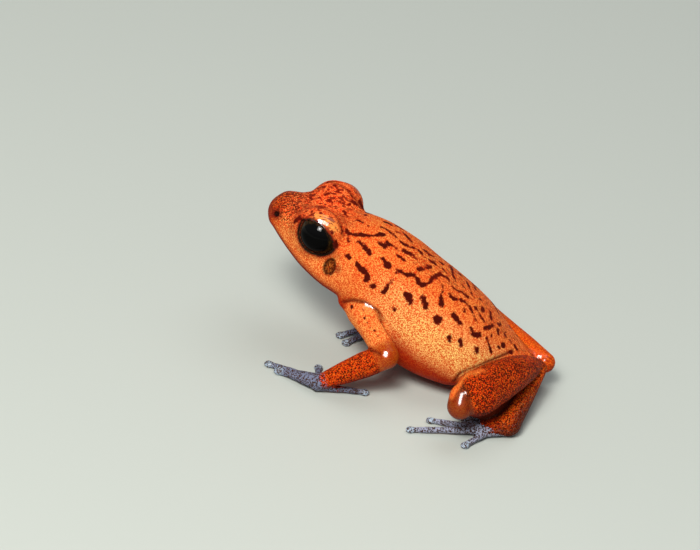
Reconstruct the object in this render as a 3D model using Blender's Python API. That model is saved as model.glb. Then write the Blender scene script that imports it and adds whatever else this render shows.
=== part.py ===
"""Strawberry poison dart frog, life size, sitting up with its head raised.

The frog is measured in millimetres in its own body frame: it looks along -Y, +X is its left side,
and the floor is z = 0. Each node is scaled to metres as it is finished, with the middle of the
frog's own box over the origin.
"""

from math import atan2, cos, pi, radians, sin

import bmesh
import bpy
from mathutils import Matrix, Vector

# ---- driving dimensions (mm and degrees) ----
MM = 0.001
SNOUT_TO_VENT = 21.0
JOINT_GAP = 0.2
SOCKET_GAP = 0.12

VENT = (0.0, 0.0, 2.1)
TRUNK_PITCH = 24.5
HEAD_PITCH = 6.3
HEAD_YAW = 14.0
NECK = (6.2, 9.6)
BEND = (6.5, 16.5)

# distance behind the snout, half width, drop of the widest level below the spine line, height above
# that level, depth below it, squareness of the upper half, squareness of the lower half
BODY = (
    (0.10, 0.65, 0.02, 0.38, 0.44, 2.2, 2.2),
    (0.45, 1.14, 0.12, 0.80, 0.82, 2.3, 2.2),
    (1.20, 1.64, 0.30, 1.27, 1.14, 2.3, 2.2),
    (2.40, 2.22, 0.65, 1.84, 1.42, 2.3, 2.3),
    (4.00, 2.80, 1.05, 2.30, 1.72, 2.2, 2.4),
    (5.60, 3.16, 1.35, 2.80, 1.85, 2.2, 2.4),
    (7.00, 3.32, 1.50, 3.20, 1.90, 2.1, 2.3),
    (8.40, 3.38, 1.65, 3.50, 2.05, 2.1, 2.2),
    (10.0, 3.55, 1.85, 3.82, 2.65, 2.1, 2.2),
    (12.0, 3.85, 2.00, 3.90, 3.02, 2.0, 2.2),
    (14.0, 4.10, 2.05, 3.76, 2.75, 2.0, 2.2),
    (16.0, 4.00, 1.95, 3.30, 2.20, 2.0, 2.2),
    (17.8, 3.05, 1.40, 2.10, 1.65, 2.1, 2.2),
    (19.4, 1.90, 0.80, 1.05, 1.10, 2.1, 2.2),
    (20.5, 1.05, 0.45, 0.60, 0.65, 2.1, 2.1),
    (20.9, 0.50, 0.35, 0.32, 0.35, 2.0, 2.0),
)
BODY_SIDES = 28
BODY_RING_STEP = 0.72

# eyes and the bumps over them: distance behind the snout, offset to the left, height on the spine line
EYE_RADIUS = 1.35
EYE = {"left": (4.4, 2.05, 0.68), "right": (4.2, -2.0, 0.68)}
BROW = {"left": (4.15, 1.8, 0.86), "right": (3.85, -1.65, 1.05)}
BROW_RADII = {"left": (1.28, 1.6, 1.36), "right": (1.2, 1.5, 1.3)}
NECK_CUT = 8.4
HEAD_OVERRUN = 1.5

# limbs: shoulder or hip, then each joint, and each stretch's radii
ARM = {
    "left": ((2.3, -12.02, 4.55), (3.7, -10.92, 4.05), (5.0, -9.88, 3.35), (5.48, -13.57, 0.78)),
    "right": ((-2.4, -12.0, 4.7), (-3.5, -11.6, 4.6), (-5.4, -9.2, 4.0), (-3.0, -10.6, 0.78)),
}
UPPER_ARM_RADII = (0.98, 0.84, 0.78, 0.82)
FOREARM_RADII = (0.80, 0.86, 0.72, 0.52)

KNUCKLES = {"left": (4.85, -14.95, 0.42), "right": (-2.35, -11.6, 0.42)}
FINGERS = {
    "left": ((3.0, -14.05), (3.82, -17.22), (4.45, -16.5), (4.73, -10.78)),
    "right": ((-0.9, -11.0), (-0.75, -12.7), (-1.5, -13.2), (-4.6, -12.2)),
}
DIGIT_RADIUS = 0.28
FINGER_DISC = (0.40, 0.36, 0.24)
PAD_PRESS = 0.72

THIGH = {
    "left": ((0.9, -2.2, 2.0), (4.5, -2.8, 1.45), (7.75, -4.4, 3.1)),
    "right": ((-0.9, -2.6, 2.2), (-3.4, -4.9, 2.3), (-5.3, -7.3, 2.4)),
}
THIGH_RADII = (1.2, 1.36, 1.06)
SHANK = {
    "left": ((7.19, -3.66, 3.48), (4.44, -1.83, 3.68), (1.11, -0.25, 2.77)),
    "right": ((-5.9, -6.0, 1.95), (-3.7, -3.15, 1.7), (-0.55, 0.3, 2.05)),
}
SHANK_RADII = {"left": (1.50, 1.38, 1.18, 0.90, 0.42), "right": (1.26, 1.22, 1.08, 0.90, 0.64)}
TARSUS = {
    "left": ((1.05, -0.05, 2.45), (3.4, -0.68, 1.5), (5.75, -1.32, 0.8)),
    "right": ((-0.6, 0.35, 1.85), (-3.0, -0.7, 1.2), (-5.0, -2.1, 0.7)),
}
TARSUS_RADII = (0.52, 0.60, 0.68, 0.72)
SOLE = {"left": (6.63, -3.09, 0.45), "right": (-6.4, -3.7, 0.45)}
TOES = {
    "left": ((5.0, -3.6), (5.1, -4.7), (6.36, -6.26), (7.95, -7.39), (8.39, -3.77)),
    "right": ((-5.1, -5.2), (-5.8, -6.2), (-7.0, -7.0), (-8.9, -7.6), (-8.5, -3.9)),
}
TOE_DISC = (0.34, 0.31, 0.22)

TUBE_SIDES = 12
TUBE_STEP = 0.7
JOINT_TURNS = 4
DIGIT_SIDES = 8
DIGIT_GRAIN = 0.11
HEAD_GRAIN = 0.16
ARM_GRAIN = 0.13
ARM_OVERRUN = 0.6
ARM_TRIANGLES = 420
HEAD_TRIANGLES = 1540
HAND_TRIANGLES = 520
FOOT_TRIANGLES = 600

COLOURS = {
    "skin": ((0.80, 0.13, 0.035), 0.32),
    "limb": ((0.52, 0.11, 0.04), 0.35),
    "blue": ((0.20, 0.24, 0.36), 0.30),
    "eye": ((0.012, 0.010, 0.010), 0.05),
}


# ---- curves and sections ----
def smooth_step(low, high, value):
    """0 before low, 1 after high, and an easy turn between them."""
    t = min(1.0, max(0.0, (value - low) / (high - low)))
    return t * t * (3.0 - 2.0 * t)


def slope(knots, column, index):
    """The tangent of one column of the body's stations, flat at a peak so that nothing swells."""
    if index == 0 or index == len(knots) - 1:
        return 0.0
    before = knots[index][column] - knots[index - 1][column]
    after = knots[index + 1][column] - knots[index][column]
    run_before = knots[index][0] - knots[index - 1][0]
    run_after = knots[index + 1][0] - knots[index][0]
    if before * after <= 0.0:
        return 0.0
    rise_before = before / run_before
    rise_after = after / run_after
    return 2.0 * rise_before * rise_after / (rise_before + rise_after)


def station(knots, distance, column):
    """One measure of the body at a distance behind the snout, on a smooth curve."""
    distance = min(max(distance, knots[0][0]), knots[-1][0])
    index = max(i for i in range(len(knots) - 1) if knots[i][0] <= distance)
    low = knots[index]
    high = knots[index + 1]
    run = high[0] - low[0]
    t = (distance - low[0]) / run
    start = slope(knots, column, index) * run
    end = slope(knots, column, index + 1) * run
    rise = high[column] - low[column]
    cubic = (start + end - 2.0 * rise) * t**3 + (3.0 * rise - 2.0 * start - end) * t**2
    return low[column] + start * t + cubic


def spine_direction(distance):
    """The way the spine points at a distance behind the snout: level and turned at the head."""
    yaw = radians(HEAD_YAW) * (1.0 - smooth_step(BEND[0], BEND[1], distance))
    drop = smooth_step(NECK[0], NECK[1], distance)
    pitch = radians(HEAD_PITCH + (TRUNK_PITCH - HEAD_PITCH) * drop)
    return Vector((-sin(yaw) * cos(pitch), -cos(yaw) * cos(pitch), sin(pitch)))


def spine_frame(distance):
    """Centre, forward, left and up of the body's section at a distance behind the snout."""
    centre = Vector(VENT)
    steps = 60
    step = (SNOUT_TO_VENT - distance) / steps
    for count in range(steps):
        centre += spine_direction(SNOUT_TO_VENT - (count + 0.5) * step) * step
    forward = spine_direction(distance)
    left = Vector((-forward.y, forward.x, 0.0)).normalized()
    return centre, forward, left, forward.cross(left)


def body_place(distance, left, up):
    """A point of the body, given as distance behind the snout and offsets left and up."""
    centre, _forward, left_axis, up_axis = spine_frame(distance)
    return centre + left_axis * left + up_axis * up


def section_centre(distance):
    """The middle of the body's section, at its widest level."""
    return body_place(distance, 0.0, -station(BODY, distance, 2))


def body_reach(distance, angle):
    """From the middle of a section to the skin, at an angle from straight up towards the left."""
    upper = cos(angle) > 0.0
    wide = station(BODY, distance, 1)
    tall = station(BODY, distance, 3 if upper else 4)
    power = station(BODY, distance, 5 if upper else 6)
    return (abs(sin(angle) / wide) ** power + abs(cos(angle) / tall) ** power) ** (-1.0 / power)


# ---- meshes ----
def new_object(name, mesh_builder):
    mesh = bpy.data.meshes.new(name)
    bmesh.ops.recalc_face_normals(mesh_builder, faces=mesh_builder.faces[:])
    mesh_builder.to_mesh(mesh)
    mesh_builder.free()
    thing = bpy.data.objects.new(name, mesh)
    bpy.context.scene.collection.objects.link(thing)
    return thing


def skin_rings(name, rings, first_pole=None, last_pole=None):
    """One closed body through rings of points; an end is a pole, or else a flat face."""
    builder = bmesh.new()
    rows = [[builder.verts.new(point) for point in ring] for ring in rings]
    count = len(rows[0])
    for low, high in zip(rows, rows[1:]):
        for i in range(count):
            j = (i + 1) % count
            builder.faces.new((low[i], low[j], high[j], high[i]))
    for row, pole in ((rows[0], first_pole), (rows[-1], last_pole)):
        if pole is None:
            builder.faces.new(row)
            continue
        tip = builder.verts.new(pole)
        for i in range(count):
            builder.faces.new((row[i], row[(i + 1) % count], tip))
    return new_object(name, builder)


def rounded_path(points, bend, step):
    """Points along a limb's bones, with each joint turned on a short curve."""
    path = [Vector(points[0])]
    for before, joint, after in zip(points, points[1:], points[2:]):
        joint = Vector(joint)
        back = (Vector(before) - joint).normalized() * bend
        ahead = (Vector(after) - joint).normalized() * bend
        for count in range(JOINT_TURNS + 1):
            t = count / JOINT_TURNS
            path.append(joint + back * (1.0 - t) ** 2 + ahead * t**2)
    path.append(Vector(points[-1]))
    fine = [path[0]]
    for start, end in zip(path, path[1:]):
        pieces = max(1, round((end - start).length / step))
        fine += [start.lerp(end, (k + 1) / pieces) for k in range(pieces)]
    return fine


def path_radius(radii, share):
    """The radius at a share of the way along a stretch with evenly spaced radii."""
    place = share * (len(radii) - 1)
    index = min(int(place), len(radii) - 2)
    t = place - index
    ease = t * t * (3.0 - 2.0 * t)
    return radii[index] + (radii[index + 1] - radii[index]) * ease


def tube(name, path, radii, sides=TUBE_SIDES, grow=0.0, flat=1.0, round_start=True, round_end=True):
    """A limb of round section along a path, closed by half-round ends or by flat cut ones."""
    lengths = [0.0]
    for start, end in zip(path, path[1:]):
        lengths.append(lengths[-1] + (end - start).length)
    total = lengths[-1]
    along = (path[1] - path[0]).normalized()
    side = along.orthogonal().normalized()
    if abs(along.z) < 0.9:
        side = along.cross(Vector((0.0, 0.0, 1.0))).normalized()
    rings = []
    for index, point in enumerate(path):
        before = path[max(index - 1, 0)]
        after = path[min(index + 1, len(path) - 1)]
        along = (after - before).normalized()
        side = (side - along * side.dot(along)).normalized()
        over = side.cross(along)
        radius = path_radius(radii, lengths[index] / total) + grow
        ends = []
        if index == 0 and round_start:
            ends = [(-cos(a) * radius, sin(a) * radius) for a in (0.35, 0.75, 1.15)]
        if index == len(path) - 1 and round_end:
            ends = [(cos(a) * radius, sin(a) * radius) for a in (1.15, 0.75, 0.35)]
        profile = ends + [(0.0, radius)] if index == 0 else [(0.0, radius)] + ends
        for shift, reach in profile:
            centre = point + along * shift
            turns = [2.0 * pi * k / sides for k in range(sides)]
            rings.append([
                centre + side * reach * cos(turn) + over * reach * flat * sin(turn) for turn in turns
            ])
    first = None
    last = None
    if round_start:
        first = path[0] - (path[1] - path[0]).normalized() * (radii[0] + grow)
    if round_end:
        last = path[-1] + (path[-1] - path[-2]).normalized() * (radii[-1] + grow)
    return skin_rings(name, rings, first, last)


def ball(name, centre, radii, segments=12, rows=8, turn=0.0):
    """An egg of given radii, turned about the vertical."""
    builder = bmesh.new()
    bmesh.ops.create_uvsphere(builder, u_segments=segments, v_segments=rows, radius=1.0)
    place = Matrix.Translation(centre) @ Matrix.Rotation(turn, 4, "Z") @ Matrix.Diagonal((*radii, 1.0))
    bmesh.ops.transform(builder, matrix=place, verts=builder.verts)
    return new_object(name, builder)


def bake(thing):
    """Applies an object's modifiers to its mesh."""
    graph = bpy.context.evaluated_depsgraph_get()
    graph.update()
    mesh = bpy.data.meshes.new_from_object(thing.evaluated_get(graph))
    thing.modifiers.clear()
    old = thing.data
    thing.data = mesh
    bpy.data.meshes.remove(old)


def remove(things):
    for thing in things:
        bpy.data.objects.remove(thing, do_unlink=True)


def carve(thing, cutters):
    """Takes the cutters out of a body and keeps the largest piece that is left."""
    for cutter in cutters:
        cut = thing.modifiers.new("cut", "BOOLEAN")
        cut.operation = "DIFFERENCE"
        cut.solver = "EXACT"
        cut.object = cutter
    bake(thing)
    keep_largest(thing)


def keep_largest(thing):
    builder = bmesh.new()
    builder.from_mesh(thing.data)
    bmesh.ops.remove_doubles(builder, verts=builder.verts[:], dist=0.002)
    bmesh.ops.dissolve_degenerate(builder, dist=0.002, edges=builder.edges[:])
    loose = set(builder.verts)
    islands = []
    while loose:
        island = {loose.pop()}
        edge_of_island = list(island)
        while edge_of_island:
            vertex = edge_of_island.pop()
            for link in vertex.link_edges:
                other = link.other_vert(vertex)
                if other not in island:
                    island.add(other)
                    edge_of_island.append(other)
        loose -= island
        islands.append(island)
    islands.sort(key=len)
    for island in islands[:-1]:
        bmesh.ops.delete(builder, geom=list(island), context="VERTS")
    bmesh.ops.triangulate(builder, faces=builder.faces[:])
    builder.to_mesh(thing.data)
    builder.free()


def fuse(name, pieces, triangles, grain, rounds):
    """Grows overlapping pieces together into one body with soft joins."""
    builder = bmesh.new()
    for piece in pieces:
        builder.from_mesh(piece.data)
    remove(pieces)
    whole = new_object(name, builder)
    remesh = whole.modifiers.new("grow together", "REMESH")
    remesh.mode = "VOXEL"
    remesh.voxel_size = grain
    soften = whole.modifiers.new("soften", "SMOOTH")
    soften.iterations = rounds
    soften.factor = 0.5
    bake(whole)
    thin = whole.modifiers.new("thin", "DECIMATE")
    thin.ratio = triangles / (2.0 * len(whole.data.polygons))
    bake(whole)
    return whole


def cut_off(thing, place, direction):
    """Cuts away all that lies beyond a plane and closes the cut with a flat face."""
    builder = bmesh.new()
    builder.from_mesh(thing.data)
    parts = builder.verts[:] + builder.edges[:] + builder.faces[:]
    bmesh.ops.bisect_plane(builder, geom=parts, plane_co=place, plane_no=direction, clear_outer=True)
    rim = [edge for edge in builder.edges if edge.is_boundary]
    bmesh.ops.holes_fill(builder, edges=rim, sides=0)
    bmesh.ops.triangulate(builder, faces=builder.faces[:])
    bmesh.ops.recalc_face_normals(builder, faces=builder.faces[:])
    builder.to_mesh(thing.data)
    builder.free()


def stand_flat(thing):
    """Gives each pad that presses on the floor its small flat."""
    cut_off(thing, Vector((0.0, 0.0, 0.0)), Vector((0.0, 0.0, -1.0)))


# ---- the frog's parts ----
def body_part(name, start, end, grow=0.0):
    """The stretch of head and trunk between two distances behind the snout."""
    count = max(4, round((end - start) / BODY_RING_STEP))
    rings = []
    distances = [start + (end - start) * i / count for i in range(count + 1)]
    if start <= BODY[0][0]:
        distances[1:1] = [start + BODY_RING_STEP * k for k in (0.2, 0.55)]
    for distance in distances:
        _spine, _forward, left, up = spine_frame(distance)
        centre = section_centre(distance)
        turns = [2.0 * pi * k / BODY_SIDES for k in range(BODY_SIDES)]
        rings.append([
            centre + (left * sin(turn) + up * cos(turn)) * (body_reach(distance, turn) + grow)
            for turn in turns
        ])
    snout = section_centre(0.0) if start <= BODY[0][0] else None
    vent = section_centre(SNOUT_TO_VENT) if end >= BODY[-1][0] else None
    if grow and snout:
        snout += spine_direction(0.0) * grow
    return skin_rings(name, rings, snout, vent)


def brow(side):
    """The bump of the upper lid, which stands over the eye."""
    turn = radians(-HEAD_YAW)
    return ball("brow", body_place(*BROW[side]), BROW_RADII[side], 24, 16, turn)


def head():
    """The head up to the neck, with both brows grown into it and a socket for each eye."""
    pieces = [body_part("skull", BODY[0][0], NECK_CUT + HEAD_OVERRUN), brow("left"), brow("right")]
    whole = fuse("head", pieces, HEAD_TRIANGLES, HEAD_GRAIN, 4)
    distance = NECK_CUT - JOINT_GAP / 2.0
    cut_off(whole, section_centre(distance), -spine_direction(distance))
    sockets = [eye(side, SOCKET_GAP) for side in ("left", "right")]
    carve(whole, sockets)
    remove(sockets)
    return whole


def eye(side, grow=0.0):
    """The eyeball, or with a growth the socket that clears it."""
    radius = EYE_RADIUS + grow
    return ball("eye_" + side, body_place(*EYE[side]), (radius,) * 3, 16, 12)


def forearm_tube(side, extra, grow=0.0):
    """The forearm from the elbow to a little past the wrist, closed there by a flat end."""
    elbow = Vector(ARM[side][2])
    wrist = Vector(ARM[side][3])
    past = wrist + (wrist - elbow).normalized() * extra
    path = rounded_path((elbow, past), 0.0, TUBE_STEP)
    return tube("forearm_" + side, path, FOREARM_RADII, grow=grow, round_end=False)


def arm(side, cutters):
    """Upper arm and forearm, grown together at the elbow and parted there by a thin cut."""
    shoulder, middle, elbow, wrist = [Vector(point) for point in ARM[side]]
    down = (elbow - middle).normalized()
    forward = (wrist - elbow).normalized()
    upper_path = rounded_path((shoulder, middle, elbow), 0.6, TUBE_STEP)
    pieces = [tube("upper_arm", upper_path, UPPER_ARM_RADII), forearm_tube(side, ARM_OVERRUN)]
    upper = fuse("upper_arm_" + side, pieces, ARM_TRIANGLES, ARM_GRAIN, 3)
    carve(upper, cutters)
    fore = upper.copy()
    fore.data = upper.data.copy()
    fore.name = "forearm_" + side
    bpy.context.scene.collection.objects.link(fore)
    across = (down + forward).normalized()
    half = across * JOINT_GAP / 2.0
    cut_off(upper, elbow - half, across)
    cut_off(fore, elbow + half, -across)
    cut_off(fore, wrist, forward)
    return upper, fore


def digit(name, root, tip, disc):
    """One finger or toe with its adhesive disc, arched a little over the ground."""
    root = Vector(root)
    end = Vector((tip[0], tip[1], disc[2] * PAD_PRESS))
    middle = root.lerp(end, 0.5) + Vector((0.0, 0.0, 0.06))
    path = rounded_path((root, middle, end), 0.3, 0.4)
    heading = atan2(end.y - root.y, end.x - root.x)
    bone = tube(name, path, (DIGIT_RADIUS * 1.15, DIGIT_RADIUS, DIGIT_RADIUS), DIGIT_SIDES)
    return [bone, ball(name, end, disc, 10, 8, heading)]


def hand(side, cutters):
    wrist = Vector(ARM[side][3])
    knuckles = Vector(KNUCKLES[side])
    along = (wrist - Vector(ARM[side][2])).normalized()
    start = wrist + along * JOINT_GAP
    path = rounded_path((start, start.lerp(knuckles, 0.45) + Vector((0, 0, -0.1)), knuckles), 0.4, 0.3)
    palm = tube("palm", path, (0.50, 0.62, 0.48), 10, flat=0.62)
    pieces = [palm]
    aside = (knuckles - start).cross(Vector((0, 0, 1))).normalized()
    sign = 1.0 if side == "left" else -1.0
    for place, tip in enumerate(FINGERS[side]):
        share = (0.35, 0.85, 0.85, 0.15)[place]
        shift = (-0.30, -0.22, 0.22, 0.30)[place] * -sign
        root = start.lerp(knuckles, share) + aside * shift
        root.z = 0.38
        pieces += digit("finger", root, tip, FINGER_DISC)
    whole = fuse("hand_" + side, pieces, HAND_TRIANGLES, DIGIT_GRAIN, 2)
    carve(whole, cutters)
    stand_flat(whole)
    return whole


def foot(side, cutters):
    ankle = Vector(TARSUS[side][2])
    sole = Vector(SOLE[side])
    start = ankle + (sole - ankle).normalized() * JOINT_GAP
    path = rounded_path((start, start.lerp(sole, 0.5), sole), 0.4, 0.3)
    pieces = [tube("sole", path, (0.66, 0.62, 0.52), 10, flat=0.74)]
    aside = (sole - start).cross(Vector((0, 0, 1))).normalized()
    sign = 1.0 if side == "left" else -1.0
    for place, tip in enumerate(TOES[side]):
        shift = (-0.34, -0.2, -0.05, 0.12, 0.3)[place] * -sign
        share = (0.55, 0.8, 0.9, 0.95, 0.75)[place]
        root = start.lerp(sole, share) + aside * shift
        root.z = 0.38
        pieces += digit("toe", root, tip, TOE_DISC)
    whole = fuse("foot_" + side, pieces, FOOT_TRIANGLES, DIGIT_GRAIN, 2)
    carve(whole, cutters)
    stand_flat(whole)
    return whole


def finish(thing, colour):
    """Names the finish and brings the node to metres, over the origin."""
    (red, green, blue), rough = COLOURS[colour]
    material = bpy.data.materials.new(thing.name)
    material.use_nodes = True
    shader = material.node_tree.nodes["Principled BSDF"]
    shader.inputs["Base Color"].default_value = (red, green, blue, 1.0)
    shader.inputs["Roughness"].default_value = rough
    shader.inputs["Metallic"].default_value = 0.0
    thing.data.materials.clear()
    thing.data.materials.append(material)
    thing.data.shade_smooth()
    thing.data.set_sharp_from_angle(angle=radians(50))


def centre_over_origin(things):
    """Moves the whole frog so that its box stands on the floor around the origin."""
    points = [vertex.co for thing in things for vertex in thing.data.vertices]
    middle_x = (min(p.x for p in points) + max(p.x for p in points)) / 2.0
    middle_y = (min(p.y for p in points) + max(p.y for p in points)) / 2.0
    lowest = min(p.z for p in points)
    place = Matrix.Scale(MM, 4) @ Matrix.Translation((-middle_x, -middle_y, -lowest))
    for thing in things:
        thing.data.transform(place)
        thing.data.update()


def build():
    for old in list(bpy.data.objects):
        bpy.data.objects.remove(old, do_unlink=True)
    half = JOINT_GAP / 2.0
    nodes = [(head(), "skin")]

    trunk = body_part("trunk", NECK_CUT + half, BODY[-1][0])
    keep_largest(trunk)
    nodes.append((trunk, "skin"))
    around_body = body_part("around_body", BODY[0][0], BODY[-1][0], JOINT_GAP)

    for side in ("left", "right"):
        nodes.append((eye(side), "eye"))

        upper, fore = arm(side, [around_body])
        around_fore = forearm_tube(side, JOINT_GAP, JOINT_GAP)
        nodes += [(upper, "skin"), (fore, "limb"), (hand(side, [around_fore]), "blue")]
        remove([around_fore])

        thigh_path = rounded_path(THIGH[side], 1.5, TUBE_STEP)
        shank_path = rounded_path(SHANK[side], 1.5, TUBE_STEP)
        tarsus_path = rounded_path(TARSUS[side], 1.0, TUBE_STEP)
        thigh = tube("thigh_" + side, thigh_path, THIGH_RADII)
        carve(thigh, [around_body])
        around_thigh = tube("around_thigh", thigh_path, THIGH_RADII, grow=JOINT_GAP)
        shank = tube("shank_" + side, shank_path, SHANK_RADII[side])
        carve(shank, [around_body, around_thigh])
        around_shank = tube("around_shank", shank_path, SHANK_RADII[side], grow=JOINT_GAP)
        tarsus = tube("tarsus_" + side, tarsus_path, TARSUS_RADII, round_end=False)
        carve(tarsus, [around_body, around_thigh, around_shank])
        around_tarsus = tube("around_tarsus", tarsus_path, TARSUS_RADII, grow=JOINT_GAP, round_end=False)
        nodes += [(thigh, "limb"), (shank, "limb"), (tarsus, "limb")]
        nodes.append((foot(side, [around_tarsus, around_shank, around_thigh]), "blue"))
        remove([around_thigh, around_shank, around_tarsus])

    remove([around_body])
    for thing, colour in nodes:
        finish(thing, colour)
    centre_over_origin([thing for thing, _colour in nodes])


build()
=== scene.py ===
from math import atan2, cos, radians, sin

import bmesh
import bpy
import numpy as np
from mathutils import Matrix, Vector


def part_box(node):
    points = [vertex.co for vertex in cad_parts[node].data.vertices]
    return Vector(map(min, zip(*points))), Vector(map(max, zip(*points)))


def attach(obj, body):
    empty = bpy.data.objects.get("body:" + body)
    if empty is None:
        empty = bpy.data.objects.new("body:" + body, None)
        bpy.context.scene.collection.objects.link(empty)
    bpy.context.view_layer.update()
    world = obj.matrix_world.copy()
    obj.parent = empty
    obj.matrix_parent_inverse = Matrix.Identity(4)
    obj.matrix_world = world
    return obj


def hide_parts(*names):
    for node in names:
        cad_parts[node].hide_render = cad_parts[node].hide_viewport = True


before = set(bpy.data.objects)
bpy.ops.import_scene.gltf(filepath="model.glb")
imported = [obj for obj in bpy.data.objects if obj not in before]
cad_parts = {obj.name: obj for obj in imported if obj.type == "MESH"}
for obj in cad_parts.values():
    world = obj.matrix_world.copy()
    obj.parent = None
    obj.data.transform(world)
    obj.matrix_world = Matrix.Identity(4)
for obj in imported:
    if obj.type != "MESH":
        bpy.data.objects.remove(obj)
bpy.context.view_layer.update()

import openvdb
from mathutils import Matrix, Vector
from numpy.linalg import norm

# ---- the frog's spine ----
# The frog is measured in millimetres in its own frame: it looks along -Y, +X is its left, and the
# floor is z = 0. The spine runs up from the vent, and turns level and to the right at the neck.
MM = 0.001
SNOUT_TO_VENT = 21.0
VENT = (0.0, 0.0, 2.1)
TRUNK_PITCH = 24.5
HEAD_PITCH = 6.3
HEAD_YAW = 14.0
# where the spine levels out and where it turns, as distances behind the snout
NECK = (6.2, 9.6)
BEND = (6.5, 16.5)
SPINE_STEP = 0.02
# each eye's distance behind the snout, and its offsets left and up
EYE = {"left": (4.4, 2.05, 0.68), "right": (4.2, -2.0, 0.68)}
EYE_RADIUS = 1.35


def climb(low, high, value):
    """0 before low, 1 after high, and an easy turn between them."""
    t = np.clip((value - low) / (high - low), 0.0, 1.0)
    return t * t * (3.0 - 2.0 * t)


def fall(low, high, value):
    """1 before low, 0 after high."""
    return 1.0 - climb(low, high, value)


spine_at = np.arange(0.0, SNOUT_TO_VENT + SPINE_STEP, SPINE_STEP)
spine_yaw = radians(HEAD_YAW) * fall(*BEND, spine_at)
spine_pitch = np.radians(HEAD_PITCH + (TRUNK_PITCH - HEAD_PITCH) * climb(*NECK, spine_at))
spine_forward = np.stack((
    -np.sin(spine_yaw) * np.cos(spine_pitch),
    -np.cos(spine_yaw) * np.cos(spine_pitch),
    np.sin(spine_pitch),
), axis=1)
spine_left = np.stack((-spine_forward[:, 1], spine_forward[:, 0], np.zeros(len(spine_at))), axis=1)
spine_left /= norm(spine_left, axis=1)[:, None]
spine_up = np.cross(spine_forward, spine_left)
between = (spine_forward[1:] + spine_forward[:-1]) / 2.0 * SPINE_STEP
spine_centre = np.array(VENT) + np.vstack((np.cumsum(between[::-1], axis=0)[::-1], np.zeros((1, 3))))


def body_place(distance, left, up):
    """A point of the body, given as distance behind the snout and offsets left and up."""
    index = int(round(distance / SPINE_STEP))
    return spine_centre[index] + spine_left[index] * left + spine_up[index] * up


eye_low, eye_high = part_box("eye_left")
eye_middle = (np.array(eye_low) + np.array(eye_high)) / 2.0 / MM
SHIFT = eye_middle - body_place(*EYE["left"])


def to_scene(points):
    """From the frog's own frame in millimetres to the model's in metres."""
    return (np.asarray(points) + SHIFT) * MM


# ---- camera, light and floor ----
# A long lens looks from the frog's left and 31 degrees above. The light is one large soft panel over
# the viewer's head with a small bright window in its middle, a weak panel behind the frog and an
# even pale room. The floor is a plain pale sheet.
camera_data = bpy.data.cameras.new("camera")
camera_data.lens = 237.6
camera_data.sensor_width = 36.0
camera_data.clip_start = 0.01
camera = bpy.data.objects.new("camera", camera_data)
bpy.context.scene.collection.objects.link(camera)
CAMERA_PLACE = (256.85, -6.68, 159.1)
CAMERA_RIGHT = Vector((-0.1265, 0.9774, 0.1696))
CAMERA_UP = Vector((-0.4972, -0.2104, 0.8417))
CAMERA_BACK = Vector((0.8584, 0.0222, 0.5126))
turn = Matrix((CAMERA_RIGHT, CAMERA_UP, CAMERA_BACK)).transposed().to_4x4()
camera.matrix_world = Matrix.Translation(to_scene(CAMERA_PLACE)) @ turn
bpy.context.scene.camera = camera

KEY_WAY = (0.634, -0.183, 0.751)
SKY_WAY = (-0.35, 0.25, 1.0)
FROG_MIDDLE = Vector((0.0, 0.0, 0.004))


def panel(name, direction, distance, size, power, colour):
    """A square soft light that faces the frog from a direction."""
    lamp = bpy.data.lights.new(name, "AREA")
    lamp.shape = "SQUARE"
    lamp.size = size
    lamp.energy = power
    lamp.color = colour
    thing = bpy.data.objects.new(name, lamp)
    bpy.context.scene.collection.objects.link(thing)
    way = Vector(direction).normalized()
    thing.location = way * distance + FROG_MIDDLE
    thing.rotation_euler = way.to_track_quat("Z", "Y").to_euler()


panel("key_light", KEY_WAY, 0.30, 0.12, 0.74, (1.0, 0.985, 0.95))
panel("window_light", KEY_WAY, 0.28, 0.045, 0.28, (1.0, 0.99, 0.97))
panel("sky_light", SKY_WAY, 0.40, 0.30, 0.42, (0.95, 0.97, 1.0))
room = bpy.data.worlds.new("room")
room.use_nodes = True
room_light = room.node_tree.nodes["Background"]
room_light.inputs["Color"].default_value = (0.80, 0.84, 0.88, 1.0)
room_light.inputs["Strength"].default_value = 0.22
bpy.context.scene.world = room
bpy.context.scene.view_settings.view_transform = "Standard"

bpy.ops.object.select_all(action="DESELECT")
bpy.ops.mesh.primitive_plane_add(size=0.9, location=(0.0, 0.0, 0.0))
floor = bpy.context.object
floor.name = "floor"
floor_finish = bpy.data.materials.new("floor")
floor_finish.use_nodes = True
floor_shader = floor_finish.node_tree.nodes["Principled BSDF"]
floor_shader.inputs["Base Color"].default_value = (0.52, 0.55, 0.50, 1.0)
floor_shader.inputs["Roughness"].default_value = 0.6
floor.data.materials.append(floor_finish)

# ---- the skin's shape ----
# One soft, moist skin covers the whole frog. It is grown as a field of distances in a box of small
# cells: the body from its stations, then brows, limbs, digits and lids, all with soft joins. It is
# meshed from the field, and the ears and folds are pressed into the mesh.
GRAIN = 0.103
# the field's value far off, and a distance beyond all others
FAR = 3.0
FAR_AWAY = 9.0
BOX_LOW = np.array((-9.7, -20.1, -0.4))
BOX_HIGH = np.array((9.4, 1.5, 10.9))
cells = np.ceil((BOX_HIGH - BOX_LOW) / GRAIN).astype(int)
field = np.full(tuple(cells), FAR, dtype=np.float32)


def soft_union(a, b, blend):
    """The nearer of two distances, with a fillet of a given reach."""
    share = np.clip(0.5 + 0.5 * (b - a) / blend, 0.0, 1.0)
    return b + (a - b) * share - blend * share * (1.0 - share)


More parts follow.
